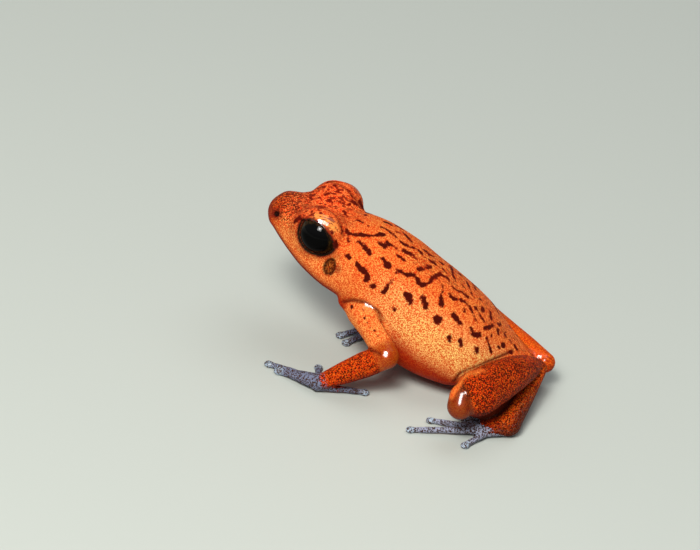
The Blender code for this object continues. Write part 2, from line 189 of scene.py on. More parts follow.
def block(low, high):
    """The cells between two corners, and their places."""
    first = np.clip(np.floor((np.array(low) - BOX_LOW) / GRAIN).astype(int), 0, cells - 1)
    last = np.clip(np.ceil((np.array(high) - BOX_LOW) / GRAIN).astype(int) + 1, 1, cells)
    steps = [BOX_LOW[k] + GRAIN * np.arange(first[k], last[k]) for k in range(3)]
    places = np.stack(np.meshgrid(*steps, indexing="ij"), axis=-1).astype(np.float32)
    return tuple(slice(a, b) for a, b in zip(first, last)), places


def grow(low, high, distance, blend, sign=1.0):
    """Adds a shape to the field. Its reach is the box round it, and blend is its fillet."""
    margin = 2.5 * blend + 0.5
    where, places = block(np.array(low) - margin, np.array(high) + margin)
    field[where] = sign * soft_union(sign * field[where], distance(places), blend)


def cut(low, high, distance, blend):
    """Takes a shape out of the field, with a soft edge."""
    grow(low, high, distance, blend, -1.0)


def along_body(points):
    """Distance behind the snout, and offsets left and up from the spine, of any points."""
    chord = spine_centre[0] - spine_centre[-1]
    length = norm(chord)
    distance = (spine_centre[0] - points) @ (chord / length) * (SNOUT_TO_VENT / length)
    for _round in range(5):
        index = np.clip(np.rint(distance / SPINE_STEP), 0, len(spine_at) - 1).astype(np.int32)
        ahead = np.einsum("...k,...k->...", points - spine_centre[index], spine_forward[index])
        distance = spine_at[index] - ahead
    offset = points - spine_centre[index]
    left = np.einsum("...k,...k->...", offset, spine_left[index])
    up = np.einsum("...k,...k->...", offset, spine_up[index])
    return distance, left, up


# distance behind the snout, half width, drop of the widest level below the spine line, height above
# that level, depth below it, squareness of the upper half, squareness of the lower half
BODY = np.array((
    (0.10, 0.65, 0.02, 0.38, 0.44, 2.2, 2.2),
    (0.45, 1.14, 0.12, 0.80, 0.82, 2.3, 2.2),
    (1.20, 1.64, 0.30, 1.27, 1.14, 2.3, 2.2),
    (2.40, 2.22, 0.65, 1.84, 1.42, 2.3, 2.3),
    (4.00, 2.80, 1.05, 2.30, 1.72, 2.2, 2.4),
    (5.60, 3.16, 1.35, 2.80, 1.85, 2.2, 2.4),
    (7.00, 3.32, 1.50, 3.20, 1.90, 2.1, 2.3),
    (8.40, 3.38, 1.65, 3.50, 2.05, 2.1, 2.2),
    (10.0, 3.55, 1.85, 3.82, 2.65, 2.1, 2.2),
    (12.0, 3.85, 2.00, 3.90, 3.02, 2.0, 2.2),
    (14.0, 4.10, 2.05, 3.76, 2.75, 2.0, 2.2),
    (16.0, 4.00, 1.95, 3.30, 2.20, 2.0, 2.2),
    (17.8, 3.05, 1.40, 2.10, 1.65, 2.1, 2.2),
    (19.4, 1.90, 0.80, 1.05, 1.10, 2.1, 2.2),
    (20.5, 1.05, 0.45, 0.60, 0.65, 2.1, 2.1),
    (20.9, 0.50, 0.35, 0.32, 0.35, 2.0, 2.0),
))


def station_curve(column):
    """One measure of the body at every step of the spine, on a smooth curve with no swelling."""
    knots = BODY[:, 0]
    values = BODY[:, column]
    run = np.diff(knots)
    rise = np.diff(values) / run
    tangent = np.zeros(len(knots))
    same_way = rise[:-1] * rise[1:] > 0.0
    before, after = rise[:-1][same_way], rise[1:][same_way]
    tangent[1:-1][same_way] = 2.0 * before * after / (before + after)
    place = np.clip(spine_at, knots[0], knots[-1])
    index = np.clip(np.searchsorted(knots, place, "right") - 1, 0, len(run) - 1)
    t = (place - knots[index]) / run[index]
    start = tangent[index] * run[index]
    end = tangent[index + 1] * run[index]
    step = values[index + 1] - values[index]
    return values[index] + start * t + (3 * step - 2 * start - end) * t**2 + (start + end - 2 * step) * t**3


body_curves = [station_curve(column) for column in range(1, 7)]
SNOUT = (1.32, 0.0, -0.20)
SNOUT_RADII = (1.48, 1.17, 1.05)


def body_distance(points):
    """How far points lie outside the skin of head and trunk."""
    distance, left, up = along_body(points)
    wide, drop, above, below, power_above, power_below = [
        np.interp(distance, spine_at, curve) for curve in body_curves
    ]
    up = up + drop
    upper = up > 0.0
    tall = np.where(upper, above, below)
    power = np.where(upper, power_above, power_below)
    radius = np.hypot(left, up) + 1e-6
    level = (np.abs(left / wide) ** power + np.abs(up / tall) ** power) ** (1.0 / power) + 1e-6
    outside = radius - radius / level
    steep = np.sqrt(sum(part**2 for part in np.gradient(outside, GRAIN)))
    outside /= np.clip(steep, 0.8, 3.0)
    ends = np.maximum(SNOUT[0] - 0.75 - distance, distance - (SNOUT_TO_VENT - 0.03))
    return -soft_union(-outside, -ends, 0.35)


BODY_REACH = ((-4.6, -19.9, 0.0), (4.6, 1.0, 10.3))
grow(*BODY_REACH, body_distance, 0.1)


def egg(centre, radii, turn=0.0):
    """Distance to an egg turned about the vertical. Its radii are across, along and tall."""
    c, s = cos(turn), sin(turn)

    def distance(points):
        p = points - np.array(centre)
        local = np.stack((p[..., 0] * c + p[..., 1] * s, p[..., 1] * c - p[..., 0] * s, p[..., 2]), axis=-1)
        scaled = local / np.array(radii)
        level = norm(scaled, axis=-1) + 1e-6
        return level * (level - 1.0) / (norm(scaled / np.array(radii), axis=-1) + 1e-6)

    reach = max(radii)
    return np.array(centre) - reach, np.array(centre) + reach, distance


def bowed(points, bend, steps=24):
    """Many points along a limb's bones, with each joint turned on a short curve."""
    path = [Vector(points[0])]
    for before, joint, after in zip(points, points[1:], points[2:]):
        joint = Vector(joint)
        back = (Vector(before) - joint).normalized() * bend
        ahead = (Vector(after) - joint).normalized() * bend
        path += [joint + back * (1.0 - t) ** 2 + ahead * t**2 for t in (0.0, 0.25, 0.5, 0.75, 1.0)]
    path.append(Vector(points[-1]))
    run = np.cumsum([0.0] + [(b - a).length for a, b in zip(path, path[1:])])
    even = np.linspace(0.0, run[-1], steps)
    return np.stack([np.interp(even, run, [p[k] for p in path]) for k in range(3)], axis=1)


def limb(path, radii, flat=1.0):
    """Distance to a round limb along a path, with its radii spread evenly over its length."""
    path = np.asarray(path, dtype=np.float32)
    share = np.linspace(0.0, 1.0, len(path))
    widths = np.interp(share, np.linspace(0.0, 1.0, len(radii)), radii)
    squeeze = np.array((1.0, 1.0, flat), dtype=np.float32)

    def distance(points):
        nearest = np.full(points.shape[:-1], FAR_AWAY, dtype=np.float32)
        for a, b, near, far in zip(path, path[1:], widths, widths[1:]):
            bone = (b - a) / squeeze
            offset = (points - a) / squeeze
            t = np.clip(offset @ bone / (bone @ bone), 0.0, 1.0)
            gap = norm(offset - t[..., None] * bone, axis=-1) - (near + (far - near) * t)
            nearest = np.minimum(nearest, gap)
        return nearest * flat

    reach = max(radii)
    return path.min(axis=0) - reach, path.max(axis=0) + reach, distance


grow(*egg(body_place(*SNOUT), SNOUT_RADII, radians(-HEAD_YAW)), 0.25)
SIDES = {"left": 1.0, "right": -1.0}
# the brows, and the swell of each lid over its eye
BROW = {"left": (4.15, 1.8, 0.86), "right": (3.85, -1.65, 1.05)}
BROW_RADII = {"left": (1.28, 1.6, 1.36), "right": (1.2, 1.5, 1.3)}
LID = 0.10
for side in SIDES:
    grow(*egg(body_place(*BROW[side]), BROW_RADII[side], radians(-HEAD_YAW)), 0.9)
    grow(*egg(body_place(*EYE[side]), (EYE_RADIUS + LID,) * 3), 0.3)

# shoulder, middle of the upper arm, elbow and wrist
ARM = {
    "left": ((2.3, -12.02, 4.55), (3.7, -10.92, 4.05), (5.0, -9.88, 3.35), (5.48, -13.57, 0.78)),
    "right": ((-2.4, -12.0, 4.7), (-3.5, -11.6, 4.6), (-5.4, -9.2, 4.0), (-3.0, -10.6, 0.78)),
}
UPPER_ARM_RADII = (0.98, 0.84, 0.78, 0.82)
FOREARM_RADII = (0.80, 0.86, 0.72, 0.52)
BREAST = (-0.55, -1.2, 0.3)
for side, sign in SIDES.items():
    shoulder, middle, elbow, wrist = ARM[side]
    breast = np.array(shoulder) + (BREAST[0] * sign, BREAST[1], BREAST[2])
    grow(*limb(bowed((breast, shoulder), 0.0), (0.5, 0.85)), 0.3)
    grow(*limb(bowed((shoulder, middle, elbow), 0.6), UPPER_ARM_RADII), 0.12)
    grow(*limb(bowed((elbow, wrist), 0.0), FOREARM_RADII), 0.08)

# the middle of the knuckles, then the tips of the four fingers, from the inner to the outer one
KNUCKLES = {"left": (4.85, -14.95, 0.42), "right": (-2.35, -11.6, 0.42)}
FINGERS = {
    "left": ((3.0, -14.05), (3.82, -17.22), (4.45, -16.5), (4.73, -10.78)),
    "right": ((-0.9, -11.0), (-0.75, -12.7), (-1.5, -13.2), (-4.6, -12.2)),
}
DIGIT_RADIUS = 0.225
FINGER_DISC = (0.34, 0.32, 0.22)
PAD_PRESS = 0.72
PALM_RADII = (0.50, 0.62, 0.48)
PALM_FLAT = 0.7
PALM_DIP = (0.0, 0.0, 0.1)
# hip, middle and knee, then the two ends of the bent knee
THIGH = {
    "left": ((0.9, -2.2, 2.0), (4.5, -2.8, 1.45), (7.45, -4.05, 2.95)),
    "right": ((-0.9, -2.6, 2.2), (-3.4, -4.9, 2.3), (-5.3, -7.3, 2.4)),
}
THIGH_RADII = (1.2, 1.36, 0.95)
KNEE_CAP = {
    "left": ((7.87, -4.59, 3.39), (8.28, -4.59, 2.90)),
    "right": ((-5.5, -7.5, 2.6), (-5.6, -7.45, 2.0)),
}
KNEE_CAP_RADII = (0.84, 0.85)
# knee, middle and heel of the shank, then heel, middle and ankle of the tarsus
SHANK = {
    "left": ((7.19, -3.66, 3.48), (4.44, -1.83, 3.68), (1.11, -0.25, 2.77)),
    "right": ((-5.9, -6.0, 1.95), (-3.7, -3.15, 1.7), (-0.55, 0.3, 2.05)),
}
SHANK_RADII = {"left": (1.50, 1.38, 1.18, 0.90, 0.42), "right": (1.26, 1.22, 1.08, 0.90, 0.64)}
TARSUS = {
    "left": ((1.05, -0.05, 2.45), (3.4, -0.68, 1.5), (5.75, -1.32, 0.8)),
    "right": ((-0.6, 0.35, 1.85), (-3.0, -0.7, 1.2), (-5.0, -2.1, 0.7)),
}
TARSUS_RADII = (0.52, 0.62, 0.72, 0.80)
# the end of the sole, then the tips of the five toes, from the inner to the outer one
SOLE = {"left": (6.63, -3.09, 0.45), "right": (-6.4, -3.7, 0.45)}
TOES = {
    "left": ((5.0, -3.6), (5.1, -4.7), (6.36, -6.26), (7.95, -7.39), (8.39, -3.77)),
    "right": ((-5.1, -5.2), (-5.8, -6.2), (-7.0, -7.0), (-8.9, -7.6), (-8.5, -3.9)),
}
TOE_DISC = (0.32, 0.30, 0.21)
FOOT_RADII = (0.78, 0.70, 0.50)
FOOT_FLAT = 0.92
# where each digit leaves the palm or sole: how far along it, and how far aside in millimetres
FINGER_ROOTS = ((0.35, 0.85, 0.85, 0.15), (-0.30, -0.22, 0.22, 0.30))
TOE_ROOTS = ((0.55, 0.8, 0.9, 0.95, 0.75), (-0.34, -0.2, -0.05, 0.12, 0.3))


def digit(root, tip, disc):
    """One finger or toe with its disc, arched a little over the ground."""
    root = np.array(root)
    end = np.array((tip[0], tip[1], disc[2] * PAD_PRESS))
    middle = (root + end) / 2.0 + (0.0, 0.0, 0.06)
    thick = np.array((1.2, 1.0, 1.1, 0.86, 0.98, 0.74)) * DIGIT_RADIUS
    grow(*limb(bowed((root, middle, end), 0.3, 10), thick), 0.12)
    heading = atan2(end[1] - root[1], end[0] - root[0])
    grow(*egg(end, disc, heading), 0.07)


def roots(start, centre, sign, shares, shifts):
    """Where a hand's or foot's digits start."""
    along = np.array(centre) - start
    aside = np.cross(along, (0.0, 0.0, 1.0))
    aside /= norm(aside)
    places = [start + along * share - aside * shift * sign for share, shift in zip(shares, shifts)]
    return [(place[0], place[1], 0.38) for place in places]


for side, sign in SIDES.items():
    grow(*limb(bowed(THIGH[side], 1.5), THIGH_RADII), 0.12)
    grow(*limb(KNEE_CAP[side], KNEE_CAP_RADII), 0.15)
    grow(*limb(bowed(SHANK[side], 1.5), SHANK_RADII[side]), 0.10)
    grow(*limb(bowed(TARSUS[side], 1.0), TARSUS_RADII), 0.10)

    wrist = np.array(ARM[side][3])
    knuckles = np.array(KNUCKLES[side])
    palm = bowed((wrist, wrist + (knuckles - wrist) * 0.45 - PALM_DIP, knuckles), 0.4)
    grow(*limb(palm, PALM_RADII, PALM_FLAT), 0.2)
    for root, tip in zip(roots(wrist, knuckles, sign, *FINGER_ROOTS), FINGERS[side]):
        digit(root, tip, FINGER_DISC)

    ankle = np.array(TARSUS[side][2])
    grow(*limb(bowed((ankle, SOLE[side]), 0.0), FOOT_RADII, FOOT_FLAT), 0.2)
    for root, tip in zip(roots(ankle, SOLE[side], sign, *TOE_ROOTS), TOES[side]):
        digit(root, tip, TOE_DISC)


def on_skin(distance, angle, depth=0.0):
    """The point of the skin at a distance behind the snout and an angle from the top to the left."""
    index = int(round(distance / SPINE_STEP))
    middle = spine_centre[index] - spine_up[index] * body_curves[1][index]
    way = spine_left[index] * sin(radians(angle)) + spine_up[index] * cos(radians(angle))
    reach = np.arange(0.3, 6.0, 0.01)
    place = (middle + reach[:, None] * way - BOX_LOW) / GRAIN
    corner = np.clip(np.floor(place).astype(int), 0, cells - 2)
    part = place - corner
    value = 0.0
    for dx, dy, dz in np.ndindex(2, 2, 2):
        share = np.abs(1 - np.array((dx, dy, dz)) - part).prod(axis=1)
        value += share * field[corner[:, 0] + dx, corner[:, 1] + dy, corner[:, 2] + dz]
    return middle + (reach[np.argmax(value > 0.0)] - depth) * way


def over_skin(places, sign=1.0):
    """The points of the skin at several distances and angles, or their mirror images."""
    return [on_skin(distance_at, sign * turn_at) for distance_at, turn_at in places]


# the nostrils, each a small pit in a low rim, a shallow dish in each cheek, and the mouth, a fine
# groove round the jaw
NOSTRIL = (1.12, 72.0)
NOSTRIL_RIM = (0.25, 0.28, 0.25)
NOSTRIL_PIT = (0.18, 0.20, 0.18)
CHEEK = (5.3, 77.0)
CHEEK_RADIUS = 1.22
CHEEK_LIFT = -0.95
for sign in SIDES.values():
    rim = on_skin(NOSTRIL[0], sign * NOSTRIL[1], 0.12)
    pit = on_skin(NOSTRIL[0], sign * NOSTRIL[1], -0.02)
    grow(*egg(rim, NOSTRIL_RIM), 0.2)
    cut(*egg(pit, NOSTRIL_PIT), 0.06)
for sign in SIDES.values():
    cut(*egg(on_skin(CHEEK[0], sign * CHEEK[1], CHEEK_LIFT), (CHEEK_RADIUS,) * 3), 0.5)
MOUTH = ((7.3, 106), (6.0, 110), (4.5, 113), (2.8, 114), (1.5, 116), (0.8, 125), (0.55, 150), (0.5, 180))
MOUTH_RADII = (0.05, 0.09, 0.09, 0.09, 0.05)
cut(*limb(bowed(over_skin(MOUTH) + over_skin(MOUTH[-2::-1], -1.0), 0.2, 60), MOUTH_RADII), 0.10)

# the opening between the lids: how far it reaches from the eye's axis, all the way round, in degrees
EYE_AXIS = (0.11, 0.99, -0.06)
LID_TURNS = (-165, -136, -118, -96, -64, -38, -19, -1, 13, 41, 60, 95, 130, 159)
LID_OPENS = (71, 75, 63, 46, 50, 53, 60, 69, 80, 61, 58, 51, 49, 56)
# the rounded edge of the lids: how far outside the opening, how high over the eyeball, and its radius
RIM_ASIDE = 0.10
RIM_RISE = 0.06
RIM_RADIUS = 0.11
LID_FIELDS = []
GAZE = {}
for side, sign in SIDES.items():
    centre = body_place(*EYE[side])
    eye_index = int(round(EYE[side][0] / SPINE_STEP))
    axes = np.stack((spine_forward[eye_index], spine_left[eye_index] * sign, spine_up[eye_index]))
    out = np.array(EYE_AXIS) @ axes
    out /= norm(out)
    over = axes[2] - out * (axes[2] @ out)
    over /= norm(over)
    front = np.cross(over, out)
    front *= np.sign(front @ axes[0])
    GAZE[side] = out

    def opening(points, centre=centre, out=out, over=over, front=front):
        """How far points lie from the eye's middle, and how far outside the opening."""
        offset = points - centre
        radius = norm(offset, axis=-1) + 1e-6
        turn = np.degrees(np.arctan2(offset @ over, offset @ front))
        reach = np.radians(np.interp(turn, LID_TURNS, LID_OPENS, period=360.0))
        angle = np.arccos(np.clip(offset @ out / radius, -1.0, 1.0))
        return radius, (angle - reach) * radius

    def lid_rim(points):
        """Distance to the lids' edge."""
        radius, aside = opening(points)
        return np.hypot(aside - RIM_ASIDE, radius - EYE_RADIUS - RIM_RISE) - RIM_RADIUS

    def lid_gap(points):
        """Distance to the opening, which flares outwards and then closes."""
        radius, aside = opening(points)
        flare = np.clip(radius - EYE_RADIUS - 0.12, 0.0, None)
        closing = np.clip(radius - EYE_RADIUS - 0.7, 0.0, None)
        return np.maximum(aside + 0.3 * flare + 1.5 * closing, 0.8 * EYE_RADIUS - radius)

    def lid_blend(points):
        """The fillet of the opening, sharp at the eyeball and soft further out."""
        return 0.05 + 1.1 * np.clip(norm(points - centre, axis=-1) - EYE_RADIUS - 0.1, 0.0, 0.9)

    reach = EYE_RADIUS + 0.5
    grow(centre - reach, centre + reach, lid_rim, 0.12)
    LID_FIELDS.append(opening)
    where, places = block(centre - reach - 0.9, centre + reach + 0.9)
    field[where] = -soft_union(-field[where], lid_gap(places), lid_blend(places))

# nothing reaches below the floor, and hands and feet end level on it
where, places = block(BOX_LOW, (BOX_HIGH[0], BOX_HIGH[1], 0.6))
field[where] = -soft_union(-field[where], places[..., 2], 0.04)

grid = openvdb.FloatGrid(FAR)
grid.copyFromArray(field)
points, triangles, quads = grid.convertToPolygons(0.0, 0.0)
points = BOX_LOW + points * GRAIN
faces = np.concatenate((triangles.reshape(-1), quads.reshape(-1))).astype(np.int32)
sizes = np.array([3] * len(triangles) + [4] * len(quads), dtype=np.int32)
mesh = bpy.data.meshes.new("skin")
mesh.vertices.add(len(points))
mesh.vertices.foreach_set("co", points.astype(np.float32).ravel())
mesh.loops.add(len(faces))
mesh.loops.foreach_set("vertex_index", faces)
mesh.polygons.add(len(sizes))
mesh.polygons.foreach_set("loop_start", np.concatenate(([0], np.cumsum(sizes)[:-1])).astype(np.int32))
mesh.update(calc_edges=True)
skin = bpy.data.objects.new("skin", mesh)
bpy.context.scene.collection.objects.link(skin)
builder = bmesh.new()
builder.from_mesh(mesh)
bmesh.ops.recalc_face_normals(builder, faces=builder.faces[:])
builder.to_mesh(mesh)
builder.free()
mesh.shade_smooth()

count = len(mesh.vertices)
edges = np.empty(2 * len(mesh.edges), dtype=np.int32)
mesh.edges.foreach_get("vertices", edges)
edges = edges.reshape(-1, 2)
links = np.bincount(edges.ravel(), minlength=count)


def around_mean(values):
    """The mean of each point's neighbours."""
    total = np.zeros_like(values)
    for column in range(values.shape[1]):
        total[:, column] = np.bincount(edges[:, 0], values[edges[:, 1], column], count)
        total[:, column] += np.bincount(edges[:, 1], values[edges[:, 0], column], count)
    return total / links[:, None]


points = np.empty(3 * count)
mesh.vertices.foreach_get("co", points)
points = points.reshape(-1, 3)
for _round in range(2):
    points = points + 0.5 * (around_mean(points) - points)
mesh.vertices.foreach_set("co", points.ravel())
mesh.update()
normals = np.empty(3 * count)
mesh.vertices.foreach_get("normal", normals)
normals = normals.reshape(-1, 3)
hollow = np.einsum("ij,ij->i", around_mean(points) - points, normals)[:, None] / GRAIN
for _round in range(2):
    hollow = around_mean(hollow)
hollow = hollow[:, 0]
distance, left, up = along_body(points)
angle = np.degrees(np.arctan2(left, up + np.interp(distance, spine_at, body_curves[1])))


def gap_to(place):
    """How far each point of the skin lies from a place."""
    return norm(points - place, axis=1)


# the ears, oval and a little sunken, with a low ring round them, pressed into the skin
EAR = (5.88, 80.0)
EAR_SIZE = (0.46, 0.53)
EAR_RING = 0.05
EAR_DEPTH = 0.08
ear_level = np.full(count, FAR_AWAY)
ear_aft = np.zeros(count)
for sign in SIDES.values():
    ear = on_skin(EAR[0], sign * EAR[1])
    index = int(round(EAR[0] / SPINE_STEP))
    outward = normals[np.argmin(gap_to(ear))]
    along = spine_forward[index] - outward * (spine_forward[index] @ outward)
    along /= norm(along)
    offset = points - ear
    level = np.hypot(offset @ along / EAR_SIZE[0], offset @ np.cross(outward, along) / EAR_SIZE[1])
    this_side = np.abs(offset @ outward) < 0.5
    ear_level = np.minimum(ear_level, np.where(this_side, level, FAR_AWAY))
    near_ear = (level < 1.6) & this_side
    ear_aft[near_ear] = -(offset[near_ear] @ along) / EAR_SIZE[0]
press = EAR_RING * np.exp(-((ear_level - 1.08) / 0.16) ** 2)
press -= EAR_DEPTH * climb(-1.0, -0.82, -ear_level)


def near_path(path, reach):
    """Distance to a path of points on the skin, where it is under a reach."""
    path = np.asarray(path)
    near = np.flatnonzero(np.all(
        (points > path.min(axis=0) - reach) & (points < path.max(axis=0) + reach), axis=1
    ))
    close = np.full(len(near), reach)
    for a, b in zip(path, path[1:]):
        bone = b - a
        offset = points[near] - a
        t = np.clip(offset @ bone / (bone @ bone + 1e-9), 0.0, 1.0)
        close = np.minimum(close, norm(offset - t[:, None] * bone, axis=1))
    return near, close


# folds: depth and half width in millimetres, how dark their painted shade is, and the points they pass
SHOULDER_FOLD = (
    (2.21, -13.43, 4.93), (2.47, -12.75, 5.39), (2.71, -12.02, 5.58), (2.85, -11.56, 5.50),
    (3.02, -11.02, 5.30), (3.30, -10.62, 4.87), (3.75, -10.25, 4.50), (4.2, -9.75, 4.15),
)
ELBOW_FOLD = ((5.02, -11.01, 3.58), (5.33, -10.64, 3.76), (5.58, -10.31, 3.78))
HIP_FOLD = (
    (0.95, -1.95, 3.31), (1.50, -2.27, 3.38), (1.93, -2.57, 3.40), (2.40, -2.95, 3.38),
    (2.96, -3.49, 3.27), (3.42, -4.10, 3.06), (3.70, -4.60, 2.90), (3.96, -5.09, 2.57),
    (3.86, -5.28, 1.87),
)
KNEE_FOLD = (
    (7.42, -4.53, 4.37), (7.95, -4.42, 4.27), (8.31, -4.31, 4.07), (8.53, -4.20, 3.78),
    (8.71, -4.10, 3.45), (8.91, -4.07, 3.13),
)
FOLDS = [
    (0.15, 0.13, 1.0, SHOULDER_FOLD), (0.06, 0.12, 0.8, ELBOW_FOLD),
    (0.05, 0.13, 1.0, HIP_FOLD), (0.02, 0.10, 0.4, KNEE_FOLD),
]
BROW_FOLD = ((2.2, 40), (2.7, 34), (3.4, 28), (4.1, 25), (4.8, 25), (5.4, 30), (5.9, 38))
UNDER_EYE_FOLD = ((6.15, 62), (5.75, 70), (5.0, 80), (4.2, 88), (3.3, 90))
for sign in SIDES.values():
    FOLDS.append((0.10, 0.17, 0.65, over_skin(BROW_FOLD, sign)))
    FOLDS.append((0.05, 0.18, 0.25, over_skin(UNDER_EYE_FOLD, sign)))
fold_shade = np.zeros(count)
for depth, half_width, shade_strength, path in FOLDS:
    near, close = near_path(bowed(path, 0.15, 40), 1.0)
    amount = np.exp(-((close / half_width) ** 2))
    press[near] -= depth * amount
    press[near] += 0.14 * depth * np.exp(-(((close - 2.2 * half_width) / half_width) ** 2))
    fold_shade[near] = np.maximum(fold_shade[near], shade_strength * np.exp(-((close / (0.85 * half_width)) ** 2)))
# two low ridges of wet skin, on the left brow and the right heel: height, half width and path
BROW_RIDGE = over_skin(((4.0, 42), (4.25, 40.5), (4.57, 40), (4.92, 39.5), (5.15, 40)))
HEEL_RIDGE = ((-0.66, -0.75, 2.60), (-0.58, -0.51, 2.56), (-0.37, -0.16, 2.54), (-0.33, 0.05, 2.50))
wet = np.zeros(count)
for height, half_width, path in ((0.07, 0.15, HEEL_RIDGE), (0.08, 0.20, BROW_RIDGE)):
    near, close = near_path(bowed(path, 0.1, 20), 0.8)
    press[near] += height * np.exp(-((close / half_width) ** 2))
    wet[near] = np.maximum(wet[near], fall(1.6 * half_width, 2.6 * half_width, close))
points += normals * press[:, None]
# small flats where the wet skin is stretched tight, on shoulder, brow, elbow and right heel, and the
# wet front of the knee: how flat, how wide, and from where to where. The flats all face one way,
# half-way between the key light and the viewer, so that they catch the light
FLAT_WAY = np.array((0.7606, -0.0820, 0.6440))
FLATS = (
    (0.85, 0.36, (2.79, -11.86, 5.38), (2.77, -11.50, 5.42)),
    (0.85, 0.28, (1.15, -15.84, 9.87), (1.22, -15.34, 9.80)),
    (0.80, 0.34, (5.57, -9.93, 3.93), (5.67, -9.90, 3.82)),
    (0.80, 0.26, (-0.34, -0.24, 2.56), (-0.30, -0.08, 2.53)),
    (0.00, 0.42, (8.51, -4.66, 3.93), (8.92, -4.66, 3.44)),
)
for flatness, reach, start, end in FLATS:
    near, close = near_path((start, end), reach)
    share = fall(0.5 * reach, reach, close)
    bone = np.array(end) - start
    offset = points[near] - start
    t = np.clip(offset @ bone / (bone @ bone), 0.0, 1.0)
    level = (offset - t[:, None] * bone) @ FLAT_WAY
    points[near] -= (flatness * share * level)[:, None] * FLAT_WAY
    wet[near] = np.maximum(wet[near], share)

# ---- the skin's colours ----
# The back and flanks are orange-red with dark brown flecks, the forearms and shanks are finely
# speckled, and the hands and feet are blue-grey with paler discs. The flanks are painted lighter
# and the belly darker red, partly the skin's own colour and partly painted light and shade. Painted
# shade darkens hollows, folds, the limbs' undersides, the gap under the knee, the throat, the
# snout's tip and front and the nostrils' pits. Painted light brightens the skin round the brow's
# wet ridge and low on the flanks. Where each colour lies is kept in the skin's attributes, and the
# finish adds the grain, whose lighter granules are partly painted glints.
# a mark's width in millimetres, then its corners: distance behind the snout and degrees from the top
MARKS = (
    (0.34, 5.66, 50, 5.76, 54), (0.26, 5.9, 30, 6.28, 41), (0.26, 6.09, 32, 7.33, 21, 7.83, 9),
    (0.19, 5.44, 30, 5.77, 38), (0.19, 5.24, 44, 5.27, 45), (0.44, 6.67, 56, 6.72, 56),
    (0.32, 6.91, 36, 7.75, 41), (0.30, 7.42, 58, 7.82, 60), (0.38, 7.82, 60, 8.31, 61, 8.42, 66),
    (0.19, 7.55, 82, 7.58, 83), (0.39, 8.98, 66, 9, 66), (0.32, 9.74, 63, 9.6, 49),
    (0.36, 10.82, 69, 10.87, 69), (0.23, 3.58, -22, 3.93, -19), (0.23, 4.61, -24, 4.83, -24),
    (0.19, 4.38, -17, 4.41, -17), (0.19, 4.25, -12, 4.63, -13), (0.19, 4.98, -17, 5.01, -18),
    (0.26, 5.01, -21, 5.62, -29), (0.26, 6.15, -18, 6.25, -15), (0.19, 4.84, -6, 5.32, 4),
    (0.19, 5.93, 3, 6.44, 6), (0.19, 6.85, 8, 6.89, 8), (0.17, 3.05, -19, 3.18, -20, 3.39, -17),
    (0.17, 3.24, -15, 3.47, -15), (0.18, 2.1, -18, 2.63, -7), (0.18, 3.12, -11, 3.2, -10),
    (0.19, 3.67, -10, 3.91, -9), (0.19, 3.44, 38, 3.49, 42, 3.52, 46), (0.17, 4.03, 35, 4.09, 35),
    (0.48, 2.62, 54, 2.76, 49), (0.34, 8.48, 37, 8.98, 40),
    (0.36, 9.56, 37, 9.89, 36, 10.26, 33),
    (0.29, 10.26, 33, 10.52, 30, 10.93, 33, 11.24, 34, 11.57, 28, 11.57, 20, 11.76, 12, 12.01, 9, 12.43, 8),
    (0.21, 12.43, 8, 13.08, 14, 13.42, 13, 13.72, 10, 14.22, 12), (0.32, 10.62, 22, 11.14, 9),
    (0.29, 9.16, 15, 9.62, 13, 10.1, 14), (0.26, 9.04, 24, 9.47, 24), (0.26, 8.16, 18, 8.79, 18),
    (0.32, 7.93, 25, 8.22, 24), (0.26, 7.61, 12, 7.87, 9),
    (0.23, 7.48, 0, 7.79, 1, 8.24, 3, 8.76, 6, 9.3, 6, 9.65, 1, 10.07, 1, 10.42, 4, 11.33, 2),
    (0.26, 7.44, -16, 7.76, -16), (0.19, 8.19, -6, 8.38, -8), (0.19, 8.48, -14, 8.85, -8, 9.31, -4),
    (0.19, 10.01, -5, 10.35, -7), (0.19, 10.59, -5, 11, -9), (0.26, 11.41, -7, 11.7, -8),
    (0.22, 12.23, -16, 12.51, -13, 12.6, -4, 13.01, 3), (0.19, 11.82, 0, 12.15, 2),
    (0.19, 13.12, -17, 13.34, -18), (0.17, 13.41, 1, 13.77, 2),
    (0.19, 13.8, -14, 13.98, -6, 14.49, 5, 14.91, 3), (0.19, 14.37, -25, 14.57, -13),
    (0.17, 15.13, -1, 15.3, 0), (0.26, 12.39, 21, 12.53, 25, 12.62, 33), (0.36, 12.62, 33, 12.87, 38),
    (0.23, 13.05, 23, 13.41, 26, 13.67, 23, 14.02, 19, 14.33, 20),
    (0.19, 14.53, 20, 14.95, 27, 15.49, 32), (0.26, 14.91, 17, 14.95, 17), (0.29, 15.42, 9, 15.49, 14),
    (0.19, 15.49, 21, 15.86, 24), (0.26, 16.02, 3, 16.31, 13), (0.29, 14.3, 27, 14.38, 30),
    (0.45, 10.84, 50, 11.37, 54), (0.39, 11.81, 43, 12.23, 49), (0.52, 13.15, 52, 13.19, 52),
    (0.45, 13.89, 40, 14.2, 42), (0.32, 14.2, 42, 14.52, 43), (0.32, 15.22, 41, 15.58, 46, 15.95, 42),
    (0.26, 16.11, 31, 16.6, 19), (0.29, 17.09, 19, 17.17, 24), (0.19, 16.71, 33, 16.78, 36),
    (0.26, 16.97, 8, 17.14, 2), (0.19, 17.72, 5, 17.76, 4), (0.19, 18.5, -6, 18.54, -7),
    (0.39, 14.36, 61, 14.44, 63), (0.42, 15.06, 58, 15.2, 61), (0.45, 16.28, 58, 16.3, 59),
    (0.26, 16.52, 42, 17.25, 54), (0.32, 17.86, 37, 17.9, 37), (0.19, 17.59, 44, 17.62, 44),
    (0.19, 17.73, 15, 18.33, 16), (0.23, 18.57, 43, 18.64, 42), (0.23, 18.74, 19, 19.17, 29),
)
chance = np.random.default_rng(7)
